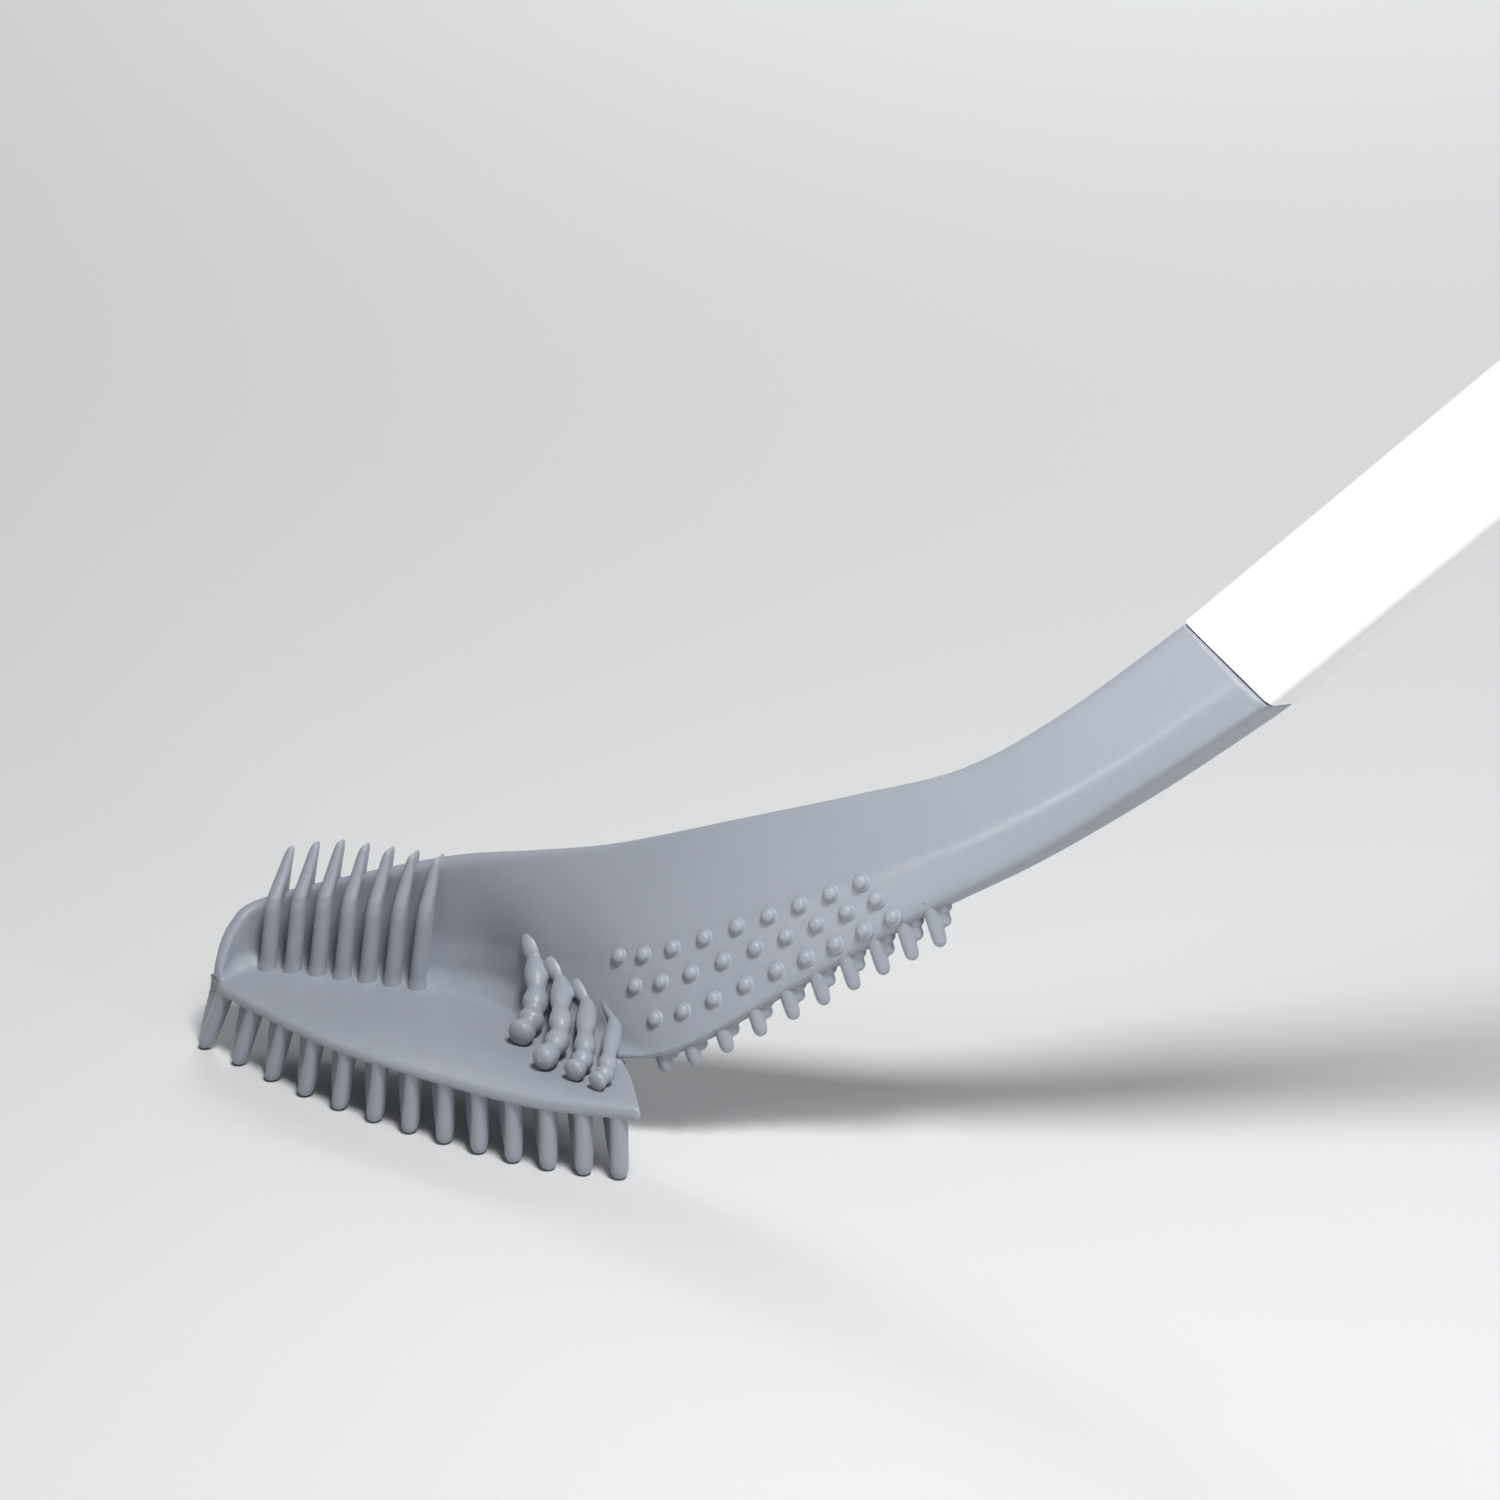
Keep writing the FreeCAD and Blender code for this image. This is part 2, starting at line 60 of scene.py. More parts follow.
# ---- Viewpoint and light ------------------------------------------------------------------
# A long lens looks down on the open side of the foot, a little from the handle's side.  The key
# and low lamps stand at the handle's side, so that the fins' webs fall into shade.  Two more
# draw out the neck and its ridge, one lifts the edges and one keeps the far floor pale.
scene = bpy.context.scene
VIEW_SIDE = radians(19)
VIEW_ABOVE = radians(21)
VIEW_DISTANCE = 1.0
LENS = 122.4                # millimetres, like the film's width
FILM_WIDTH = 36
NEAREST_SEEN = 0.01
CREASE_LEFT = 0.0461        # how far the crease lies left of and below the middle of the view
CREASE_BELOW = 0.0486
back = Vector((sin(VIEW_SIDE) * cos(VIEW_ABOVE), -cos(VIEW_SIDE) * cos(VIEW_ABOVE), sin(VIEW_ABOVE)))
right = Vector((cos(VIEW_SIDE), sin(VIEW_SIDE), 0))
upward = back.cross(right)
camera = bpy.data.objects.new("camera", bpy.data.cameras.new("camera"))
camera.data.lens = LENS
camera.data.sensor_width = FILM_WIDTH
camera.data.clip_start = NEAREST_SEEN
camera.location = crease + right * CREASE_LEFT + upward * CREASE_BELOW + back * VIEW_DISTANCE
camera.rotation_euler = Matrix((right, upward, back)).transposed().to_euler()
scene.collection.objects.link(camera)
scene.camera = camera


def soft_lamp(name, place, aim, size, power, cone=None):
    """A round soft lamp, or with a cone a soft spot lamp that only lights what it aims at."""
    lamp = bpy.data.objects.new(name, bpy.data.lights.new(name, "SPOT" if cone else "AREA"))
    if cone:
        lamp.data.spot_size = cone
        lamp.data.spot_blend = 0.6
        lamp.data.shadow_soft_size = size / 2
    else:
        lamp.data.shape = "DISK"
        lamp.data.size = size
    lamp.data.energy = power
    lamp.visible_camera = False
    lamp.location = place
    lamp.rotation_euler = (Vector(place) - Vector(aim)).to_track_quat("Z", "Y").to_euler()
    scene.collection.objects.link(lamp)


foot_middle = at(20, -10, 20)
neck_middle = at(132, -14, 77)
soft_lamp("key_lamp", foot_middle + Vector((0.42, -0.42, 1.15)), foot_middle, 0.28, 15)
soft_lamp("low_lamp", foot_middle + Vector((0.88, -0.50, 0.22)), foot_middle, 0.12, 1.3)
soft_lamp("neck_lamp", neck_middle + Vector((0.02, -0.18, 0.22)), neck_middle, 0.08, 0.19)
soft_lamp("ridge_lamp", neck_middle + Vector((-0.64, -0.63, 0.04)), neck_middle, 0.10, 14, radians(11))
soft_lamp("back_lamp", foot_middle + Vector((-0.2, 1.0, 0.9)), foot_middle, 0.7, 3)
far_floor = foot_middle + Vector((0.0, 2.4, -0.1))
soft_lamp("floor_lamp", foot_middle + Vector((-0.3, 1.5, 1.3)), far_floor, 0.9, 22)

world = bpy.data.worlds.new("room")
world.use_nodes = True
world.node_tree.nodes["Background"].inputs["Color"].default_value = (0.94, 0.97, 1.0, 1)
world.node_tree.nodes["Background"].inputs["Strength"].default_value = 0.14
scene.world = world
scene.view_settings.view_transform = "Standard"

# ---- Materials by expression ----------------------------------------------------------------
# A Value wraps the output of a node, so that a finish reads as plain sums of what varies over
# the surface.  Finish holds one material and is the only place where nodes are made.


class Value:
    def __init__(self, finish, socket):
        self.finish = finish
        self.socket = socket

    def maths(self, operation, first, second):
        return self.finish.node("ShaderNodeMath", {"operation": operation}, {0: first, 1: second})

    def __add__(self, other):
        return self.maths("ADD", self, other)

    def __radd__(self, other):
        return self.maths("ADD", other, self)

    def __sub__(self, other):
        return self.maths("SUBTRACT", self, other)

    def __rsub__(self, other):
        return self.maths("SUBTRACT", other, self)

    def __mul__(self, other):
        return self.maths("MULTIPLY", self, other)

    def __rmul__(self, other):
        return self.maths("MULTIPLY", other, self)


class Finish:
    def __init__(self, name):
        self.material = bpy.data.materials.new(name)
        self.material.use_nodes = True
        self.nodes = self.material.node_tree.nodes
        self.links = self.material.node_tree.links
        self.shader = self.nodes["Principled BSDF"]

    def node(self, kind, settings, sockets, output=0):
        made = self.nodes.new(kind)
        for name, setting in settings.items():
            setattr(made, name, setting)
        for name, value in sockets.items():
            self.feed(made.inputs[name], value)
        return Value(self, made.outputs[output])

    def feed(self, socket, value):
        if isinstance(value, Value):
            self.links.new(value.socket, socket)
        elif isinstance(value, tuple) and socket.type == "RGBA" and len(value) == 3:
            socket.default_value = (*value, 1)
        else:
            socket.default_value = value

    def set(self, **sockets):
        for name, value in sockets.items():
            self.feed(self.shader.inputs[name.replace("_", " ")], value)
        return self

    def place(self):
        return self.node("ShaderNodeTexCoord", {}, {}, "Object")

    def noise(self, scale, detail=3.0, roughness=0.5, stretch=None):
        where = self.place()
        if stretch:
            where = self.node("ShaderNodeMapping", {}, {"Vector": where, "Scale": stretch})
        sockets = {"Vector": where, "Scale": scale, "Detail": detail, "Roughness": roughness}
        return self.node("ShaderNodeTexNoise", {}, sockets)

    def between(self, mask, low, high):
        """A number that runs from low to high as the mask runs from 0.3 to 0.7."""
        sockets = {"Value": mask, "From Min": 0.3, "From Max": 0.7, "To Min": low, "To Max": high}
        return self.node("ShaderNodeMapRange", {}, sockets)

    def tint(self, mask, first, second):
        """The first colour where the mask is 0, the second where it is 1."""
        sockets = {"Factor": mask, 6: first, 7: second}
        return self.node("ShaderNodeMix", {"data_type": "RGBA"}, sockets, 2)

    def bumps(self, height, distance, strength=1.0):
        sockets = {"Height": height, "Distance": distance, "Strength": strength}
        return self.node("ShaderNodeBump", {}, sockets)


# ---- Floor ------------------------------------------------------------------------------
# A plain sheet of pale paper, with the faint tooth of paper, swept far back under the brush.
fins_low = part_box("sole_fins")[0]
FLOOR_GAP = 0.1 * MM
FLOOR_REACH = 3.0


def paper_finish():
    paper = Finish("pale_paper")
    cloud = paper.noise(3.0)
    tooth = paper.noise(700.0, 2.0)
    colour = paper.tint(cloud, (0.64, 0.645, 0.65), (0.66, 0.665, 0.67))
    rough = paper.between(cloud, 0.75, 0.85)
    paper.set(Base_Color=colour, Roughness=rough, Normal=paper.bumps(tooth, 0.00005))
    return paper.material


floor_mesh = bpy.data.meshes.new("floor")
floor_corners = [(x * FLOOR_REACH, y * FLOOR_REACH, 0) for x, y in ((-1, -1), (1, -1), (1, 1), (-1, 1))]
floor_mesh.from_pydata(floor_corners, [], [(0, 1, 2, 3)])
floor = bpy.data.objects.new("floor", floor_mesh)
floor.location.z = fins_low[2] - FLOOR_GAP
floor_mesh.materials.append(paper_finish())
scene.collection.objects.link(floor)

# ---- Soft head: skin --------------------------------------------------------------------
# The neck, blade, wall and sole plate are one moulding in blue-grey thermoplastic rubber, shot
# over the rigid core.  It is drawn as flat ribs across its length, each a five-cornered
# section with rounded corners, and the plate is run into the wall with a small fillet.
RISE = radians(45)
ROLL = radians(20)
along_handle = Vector((cos(RISE), 0, sin(RISE)))
out_of_face = Vector((-sin(RISE) * sin(ROLL), -cos(ROLL), cos(RISE) * sin(ROLL)))
across_handle = out_of_face.cross(along_handle)
seam_middle = at(144.9, -7.8, 89.9)
SEAM_SLANT = radians(12)
SEAM_GAP = 0.10 * MM
seam_normal = Matrix.Rotation(SEAM_SLANT, 3, out_of_face) @ along_handle

# Each rib: top edge, bottom edge, thickness, how proud the ridge stands, where it runs, and
# the cut at the lower front corner, which below zero kicks out into a fillet over the plate.
RIBS = [
    ((136.1, -10.0, 98.8), (153.9, -18.0, 87.7), 13.0, 1.5, 0.71, 0.9),
    ((133.3, -10.0, 96.0), (151.1, -18.0, 84.9), 13.0, 1.5, 0.71, 0.9),
    ((112.0, -9.5, 77.0), (130.0, -18.0, 67.5), 12.0, 1.8, 0.72, 0.9),
    ((93.0, -8.5, 63.5), (109.0, -18.0, 51.0), 8.0, 1.9, 0.66, 0.9),
    ((72.0, -7.0, 55.0), (88.0, -18.5, 37.0), 5.5, 1.5, 0.635, 0.9),
    ((47.0, -5.5, 46.0), (64.0, -20.0, 19.8), 5.0, 0.8, 0.60, 0.8),
    ((22.0, -3.0, 37.0), (38.0, -22.8, 3.0), 5.0, 0.0, 0.54, -1.0),
    ((4.0, -1.0, 32.0), (17.0, -13.5, -1.0), 4.5, -1.2, 0.60, -6.0),
    ((-14.0, 0.5, 27.0), (-3.0, 0.0, -1.0), 4.5, -1.0, 0.60, -4.5),
    ((-35.0, 2.0, 20.0), (-32.0, 1.0, -1.0), 4.0, -0.6, 0.60, -3.0),
    ((-52.0, 2.0, 13.5), (-52.0, 1.5, -1.0), 3.5, -0.4, 0.60, -3.0),
    ((-57.5, -2.5, 9.5), (-58.0, -3.0, -1.0), 2.8, 0.0, 0.60, -2.5),
    ((-59.3, -8.3, 0.8), (-59.3, -8.8, -1.0), 2.0, 0.0, 0.60, -0.4),
]
MOUTH_RIB = 0.5             # whose section the neck's end has, slid into the seam
NECK_RIB = 1.12             # where the run of ribs starts behind it
RIB_STEP = 0.05             # to either side of a place, to find which way the skin runs
STATIONS = 170
RING_STEPS = 5
PLATE_FRONT = [(-59.2, -10.5), (-47.0, -17.5), (-27.0, -28.0), (-3.0, -36.0), (20.0, -41.0),
               (41.0, -40.0)]
PLATE_BACK = [(34.0, -26.0), (25.0, -13.0), (14.0, -4.0), (0.0, 5.0), (-22.0, 6.5), (-48.0, 6.5),
              (-61.4, -5.0)]
PLATE_STEPS = 60
PLATE_THICK = 3.0
PLATE_FOLD = [(-52.0, 1.0), (18.0, -34.0)]
PLATE_FALL = 0.11           # slope of the plate in front of the fold
PLATE_FALL_END = 30.0       # the heel's corner stays level
SKIN_VOXEL = 0.52 * MM
SKIN_PASSES = 4


def smooth_between(rows, place):
    """A Catmull-Rom blend of rows of numbers, at a place counted in rows."""
    low = min(int(place), len(rows) - 2)
    t = place - low
    p0, p1, p2, p3 = [np.array(rows[min(max(row, 0), len(rows) - 1)]) for row in range(low - 1, low + 3)]
    return 0.5 * (2 * p1 + (p2 - p0) * t + (2 * p0 - 5 * p1 + 4 * p2 - p3) * t ** 2
                  + (3 * p1 - p0 - 3 * p2 + p3) * t ** 3)


def rib(place):
    """Top, bottom, thickness, proudness, ridge place, corner cut and inward direction."""
    rows = [(*top, *bottom, *rest) for top, bottom, *rest in RIBS]
    here = smooth_between(rows, place)
    ahead = smooth_between(rows, min(place + RIB_STEP, len(rows) - 1))
    behind = smooth_between(rows, max(place - RIB_STEP, 0))
    top, bottom = at(*here[:3]), at(*here[3:6])
    tangent = Vector(behind[:3] + behind[3:6]) - Vector(ahead[:3] + ahead[3:6])
    inward = (bottom - top).cross(tangent).normalized()
    if inward.y < 0:
        inward = -inward
    return top, bottom, here[6] * MM, here[7] * MM, here[8], here[9] * MM, inward


def front_point(place, share):
    """A point on the front of the skin, a share of the way from the top edge to the bottom."""
    top, bottom, thick, proud, ridge, cut, inward = rib(place)
    lift = proud * (share / ridge if share < ridge else (1 - share) / (1 - ridge))
    return top.lerp(bottom, share) - inward * lift


def rounded_ring(corners, radii, steps):
    """A closed ring with each corner turned into a short curve of its own radius."""
    ring = []
    for number, (corner, radius) in enumerate(zip(corners, radii)):
        before = corners[number - 1] - corner
        after = corners[(number + 1) % len(corners)] - corner
        start = corner + before.normalized() * min(radius, before.length * 0.45)
        end = corner + after.normalized() * min(radius, after.length * 0.45)
        for step in range(steps + 1):
            t = step / steps
            ring.append(start * (1 - t) ** 2 + corner * 2 * t * (1 - t) + end * t ** 2)
    return ring


def rib_ring(place):
    top, bottom, thick, proud, ridge, cut, inward = rib(place)
    crest = top.lerp(bottom, ridge) - inward * proud
    rise = (top - bottom).normalized() * abs(cut)
    corners = [top, crest, bottom + rise, bottom + inward * cut,
               bottom + inward * thick, top + inward * thick]
    small = min(1.8 * MM, thick * 0.4)
    radii = [small, 1.3 * MM, small, small, thick * 0.30, thick * 0.42]
    return rounded_ring(corners, radii, RING_STEPS)


def skin_over(rings):
    """A closed shell over a run of equal rings, as a list of points and a list of faces."""
    count = len(rings[0])
    points = [point for ring in rings for point in ring]
    faces = []
    for row in range(len(rings) - 1):
        for number in range(count):
            after = (number + 1) % count
            faces.append((row * count + number, row * count + after,
                          (row + 1) * count + after, (row + 1) * count + number))
    faces.append(tuple(reversed(range(count))))
    faces.append(tuple(range(len(points) - count, len(points))))
    return points, faces


def mesh_piece(name, shells):
    """One mesh object from closed shells, each a pair of points and faces, facing outwards."""
    points, faces = [], []
    for shell_points, shell_faces in shells:
        start = len(points)
        points.extend(shell_points)
        faces.extend(tuple(start + number for number in face) for face in shell_faces)
    mesh = bpy.data.meshes.new(name)
    mesh.from_pydata([tuple(point) for point in points], [], faces)
    work = bmesh.new()
    work.from_mesh(mesh)
    bmesh.ops.recalc_face_normals(work, faces=work.faces)
    work.to_mesh(mesh)
    work.free()
    piece = bpy.data.objects.new(name, mesh)
    scene.collection.objects.link(piece)
    for face in mesh.polygons:
        face.use_smooth = True
    return piece


def settle(piece):
    """Turn the piece's modifiers into its mesh."""
    graph = bpy.context.evaluated_depsgraph_get()
    mesh = bpy.data.meshes.new_from_object(piece.evaluated_get(graph))
    piece.modifiers.clear()
    piece.data = mesh
    for face in mesh.polygons:
        face.use_smooth = True
    return piece


def mould(piece, voxel, passes):
    """Melt overlapping shells into one skin and ease the inside corners, as a mould does."""
    remesh = piece.modifiers.new("melt", "REMESH")
    remesh.mode = "VOXEL"
    remesh.voxel_size = voxel
    ease = piece.modifiers.new("ease", "SMOOTH")
    ease.factor = 0.5
    ease.iterations = passes
    return settle(piece)


def onto_seam(point, gap):
    """Slide a point along the handle until it lies in the slanting seam."""
    plane = seam_middle - along_handle * gap
    return point + along_handle * ((plane - point).dot(seam_normal) / along_handle.dot(seam_normal))


def neck_to_toe():
    run = len(RIBS) - 1 - NECK_RIB
    rings = [rib_ring(NECK_RIB + run * step / STATIONS) for step in range(STATIONS + 1)]
    mouth = [onto_seam(point, SEAM_GAP) for point in rib_ring(MOUTH_RIB)]
    return skin_over([mouth] + rings)


def spline_through(points, steps):
    """Points along a smooth line through a few places in the plate's plane."""
    return [smooth_between(points, step * (len(points) - 1) / steps) for step in range(steps + 1)]


def plate_shell():
    """The sole plate: a rounded rim, and a front strip that falls away a little."""
    outline = spline_through(PLATE_FRONT, PLATE_STEPS) + spline_through(PLATE_BACK, PLATE_STEPS)
    centre = sum(outline) / len(outline)
    fold_start, fold_end = np.array(PLATE_FOLD)
    fold = (fold_end - fold_start) / np.linalg.norm(fold_end - fold_start)

    def fall(place):
        beyond = (place - fold_start) @ np.array((fold[1], -fold[0]))
        return -PLATE_FALL * max(0.0, beyond) if place[0] < PLATE_FALL_END else 0.0

    def ring(inset, height, follow=1.0):
        points = []
        for place in outline:
            towards = centre - place
            inner = place + towards / np.linalg.norm(towards) * inset
            points.append(at(inner[0], inner[1], height + fall(inner) * follow))
        return points

    # Distance in from the outline, and height: over the top, round the rim and under.
    shape = [(14.0, 0.0), (7.0, 0.0), (3.0, 0.0), (1.0, -0.02), (0.3, -0.3), (0.0, -1.0),
             (0.0, -2.0), (0.3, -2.7), (1.0, -PLATE_THICK), (14.0, -PLATE_THICK)]
    rings = [ring(inset, height, 1.0 if height > -2.5 else 0.3) for inset, height in shape]
    return skin_over(rings)


def soft_rubber():
    """Matt thermoplastic rubber: a fine spark-eroded texture, faint flow marks and dusty wear."""
    rubber = Finish("soft_grey_rubber")
    cloud = rubber.noise(28.0, 4.0, 0.55)
    flow = rubber.noise(16.0, 3.0, 0.5, (1.0, 1.0, 3.5))
    grain = rubber.noise(2600.0, 2.0, 0.6)
    pebble = rubber.noise(620.0, 3.0, 0.5)
    worn = rubber.node("ShaderNodeNewGeometry", {}, {}, "Pointiness")
    edge = rubber.node("ShaderNodeMapRange", {}, {"Value": worn, "From Min": 0.5, "From Max": 0.58})
    body = rubber.tint(rubber.between(cloud, 0.0, 1.0), (0.285, 0.308, 0.352), (0.305, 0.328, 0.372))
    body = rubber.tint(edge * 0.22, body, (0.40, 0.43, 0.48))
    body = rubber.tint(rubber.between(flow, 0.0, 0.12), body, (0.35, 0.375, 0.42))
    rough = rubber.between(cloud, 0.36, 0.44) + (pebble - 0.5) * 0.12
    height = grain * 0.5 + pebble * 0.5
    rubber.set(Base_Color=body, Roughness=rough, Normal=rubber.bumps(height, 0.00006, 0.6),
               IOR=1.46, Specular_IOR_Level=0.42, Sheen_Weight=0.12, Sheen_Roughness=0.5)
    return rubber.material


grey_rubber = soft_rubber()
head_skin = mesh_piece("head_skin", [neck_to_toe(), plate_shell()])
mould(head_skin, SKIN_VOXEL, SKIN_PASSES)
head_skin.data.materials.append(grey_rubber)
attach(head_skin, "head")
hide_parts("neck_sleeve", "blade", "foot_wall", "sole_plate")

# The neck's open end takes the rigid socket, so the room for it is cut after the moulding.
SOCKET_CORNER = 1.5 * MM
SOCKET_ROOM = (14.7 * MM, 8.3 * MM)
SOCKET_ROOM_TIP = (11.7 * MM, 6.3 * MM)
SOCKET_DEPTH = 28.6 * MM
PAST_THE_SEAM = 9 * MM


def tongue_ring(place, width, thick):
    """A rounded oblong round the handle's axis, as the socket in the neck has it."""
    middle = seam_middle + along_handle * place
    corners = [middle + across_handle * a * width / 2 + out_of_face * b * thick / 2
               for a, b in ((1, 1), (-1, 1), (-1, -1), (1, -1))]
    return rounded_ring(corners, [SOCKET_CORNER] * 4, 4)


room_rings = [tongue_ring(PAST_THE_SEAM, *SOCKET_ROOM), tongue_ring(0, *SOCKET_ROOM),
              tongue_ring(-SOCKET_DEPTH, *SOCKET_ROOM_TIP)]
room = mesh_piece("socket_room", [skin_over(room_rings)])
cut = head_skin.modifiers.new("socket_room", "BOOLEAN")
cut.operation = "DIFFERENCE"
cut.solver = "EXACT"
cut.object = room
settle(head_skin)
bpy.data.objects.remove(room)

# ---- Toe fins ---------------------------------------------------------------------------
# Seven upright fins moulded on the wall at the toe.  Each has a round front edge that stands
# straight up, then leans back to a slim tip above the wall, with a thin web behind it.
TOE_FIN_START = -52.3
TOE_FIN_STEP = 5.35
TOE_FIN_LEAN = 0.15
TOE_FIN_HEIGHTS = [0.89, 0.955, 1.0, 1.0, 1.0, 1.0, 1.0]
TOE_FIN_BEND = 15.0         # above this height the fins lean back
TOE_FIN_OUT = 3.7           # how far out the rods stand at the bend
TOE_WEB_BACK = 1.6
TOE_FIN_UPRIGHT = 0.09      # each fin leans back by this share less than the one before
FIN_VOXEL = 0.3 * MM
FIN_PASSES = 3


def teardrop(middle, nose, width, tail, tail_half, steps=10):
    """A level section: a round nose towards the front and a thin tail behind it."""
    side = Vector((-nose.y, nose.x, 0)).normalized()
    ring = []
    for step in range(steps + 1):
        angle = -0.62 * pi + 1.24 * pi * step / steps
        ring.append(middle + (nose * cos(angle) + side * sin(angle)) * width)
    for share in (0.35, 0.7, 1.0):
        ring.append(middle - nose * (width + (tail - width) * share) + side * tail_half)
    ring.append(middle - nose * (tail + tail_half * 0.6))
    for share in (1.0, 0.7, 0.35):
        ring.append(middle - nose * (width + (tail - width) * share) - side * tail_half)
    return ring


def toe_fin(x, share, upright):
    # Height, front of the rod, end of the web, radius of the rod, half the web.
    profile = [(-1.0, -3.4, 4.4, 2.1, 1.2), (0.6, -3.1, 4.4, 1.9, 0.7), (2.0, -3.0, 4.4, 1.75, 0.55),
               (9.0, -3.3, 4.6, 1.7, 0.5), (15.0, -3.7, 4.6, 1.6, 0.5), (17.5, -3.2, 4.6, 1.5, 0.5),
               (21.5, -0.2, 4.7, 1.3, 0.5), (25.0, 2.2, 5.0, 1.05, 0.5), (26.4, 3.1, 5.0, 0.8, 0.45),
               (27.0, 3.8, 4.9, 0.4, 0.25)]
    rings = []
    for full_height, front, rear, radius, web in profile:
        height = full_height * share
        if full_height > TOE_FIN_BEND:
            front -= (front + TOE_FIN_OUT) * upright
            rear -= TOE_WEB_BACK * upright
        middle = at(x + TOE_FIN_LEAN * height, front + radius, height)
        web_reach = rear - front - radius
        rings.append(teardrop(middle, Vector((0, -1, 0)), radius * MM, web_reach * MM, web * MM))
    return skin_over(rings)


toe_fins = mesh_piece("toe_fin_row", [
    toe_fin(TOE_FIN_START + TOE_FIN_STEP * number, share, TOE_FIN_UPRIGHT * number)
    for number, share in enumerate(TOE_FIN_HEIGHTS)])
mould(toe_fins, FIN_VOXEL, FIN_PASSES)
toe_fins.data.materials.append(grey_rubber)
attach(toe_fins, "head")
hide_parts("toe_fins")

# ---- Sole fins --------------------------------------------------------------------------
# Thirteen fins hang from the front rim of the sole.  Each is a slim rod with a round end and
# a thin web trailing towards the toe; those at the toe lean outwards.
SOLE_FINS = 13
SOLE_FIN_LENGTH = 13.0
SOLE_FIN_LEAN = 5.5
FIRST_TIP = -63.0           # x of the first tip; the steps shrink a little towards the heel
FIN_STEP = 9.65
FIN_STEP_SHRINK = 0.117
FIN_SET_BACK = 2.2
web_way = Vector((-0.74, 0.67, 0)).normalized()
front_line = np.array(spline_through(PLATE_FRONT, 200))


def sole_fin(number):
    share = number / (SOLE_FINS - 1)
    full_lean = SOLE_FIN_LEAN * (1 - share) ** 2
    x = FIRST_TIP + FIN_STEP * number - FIN_STEP_SHRINK * number ** 2 + full_lean
    y = np.interp(x, front_line[:, 0], front_line[:, 1]) + FIN_SET_BACK
    # Share of the length, radius of the rod, reach of the web, half its thickness.
    profile = [(-0.08, 2.1, 7.6, 0.8), (0.02, 1.85, 7.2, 0.4), (0.12, 1.75, 6.6, 0.35),
               (0.45, 1.75, 5.4, 0.35), (0.75, 1.8, 4.2, 0.35), (0.88, 1.7, 3.2, 0.4),
               (0.96, 1.3, 2.2, 0.4), (1.0, 0.5, 0.9, 0.25)]
    rings = []
    for down, radius, reach_back, web in profile:
        middle = at(x - full_lean * down, y, -PLATE_THICK - SOLE_FIN_LENGTH * down)
        rings.append(teardrop(middle, -web_way, radius * MM, reach_back * MM, web * MM))
    return skin_over(rings)


sole_fins = mesh_piece("sole_fin_row", [sole_fin(number) for number in range(SOLE_FINS)])
mould(sole_fins, FIN_VOXEL, FIN_PASSES)
sole_fins.data.materials.append(grey_rubber)
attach(sole_fins, "head")
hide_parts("sole_fins")

# ---- Studs, nubs and domes ----------------------------------------------------------------
# Low scrubbing domes moulded on the blade's lower facet in three rows of nine, and larger
# ones under the sole.  Each is turned about its own axis with a small flare at its root.

# Each row of nubs: place along the ribs and share across them, at the heel and at its far end.
NUB_ROWS = [((6.17, 0.524), (4.25, 0.627)), ((6.07, 0.669), (4.21, 0.771)),
            ((5.95, 0.835), (4.17, 0.924))]
NUBS_IN_ROW = 9
NUB_RADIUS = 1.4
NUB_HEIGHT = 1.45
DOME_SIDES = 20
STUD_ROWS = 2
STUDS_IN_ROW = 8
STUD_RADIUS = 1.7
STUD_HEIGHT = 1.6
STUD_START = (-36.0, -4.0)
STUD_STEP = 9.0
STUD_ROW_GAP = 10.0
STUD_SLANT = 0.5


def dome(place, outward, radius, height):
    """A dome with a flared root, turned about the outward direction."""
    outward = outward.normalized()
    side = outward.orthogonal().normalized()
    other = outward.cross(side)
    profile = [(1.45, -0.25), (1.3, 0.0), (1.08, 0.12), (1.0, 0.3)]
    profile += [(cos(pi / 2 * step / 6), 0.3 + 0.7 * sin(pi / 2 * step / 6)) for step in range(1, 6)]
    profile.append((0.08, 1.0))
    rings = []
    for spread, lift in profile:
        middle = place + outward * height * lift
        angles = [2 * pi * number / DOME_SIDES for number in range(DOME_SIDES)]
        rings.append([middle + (side * cos(angle) + other * sin(angle)) * radius * spread
                      for angle in angles])
    return skin_over(rings)


def blade_nub(row, number):
    heel, far = np.array(row)
    place, share = heel + (far - heel) * number / (NUBS_IN_ROW - 1)
    inward = rib(place)[-1]
    return dome(front_point(place, share), -inward, NUB_RADIUS * MM, NUB_HEIGHT * MM)


nubs = mesh_piece("blade_nub_rows", [blade_nub(row, number)
                                     for row in NUB_ROWS for number in range(NUBS_IN_ROW)])
nubs.data.materials.append(grey_rubber)
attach(nubs, "head")
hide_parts("blade_nubs")


def sole_stud(row, number):
    x = STUD_START[0] + (number + row / 2) * STUD_STEP
    y = STUD_START[1] - row * STUD_ROW_GAP - max(0.0, x) * STUD_SLANT
    return dome(at(x, y, -PLATE_THICK), Vector((0, 0, -1)), STUD_RADIUS * MM, STUD_HEIGHT * MM)


studs = mesh_piece("sole_stud_rows", [sole_stud(row, number)
                                      for row in range(STUD_ROWS) for number in range(STUDS_IN_ROW)])
studs.data.materials.append(grey_rubber)
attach(studs, "head")
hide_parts("sole_studs")

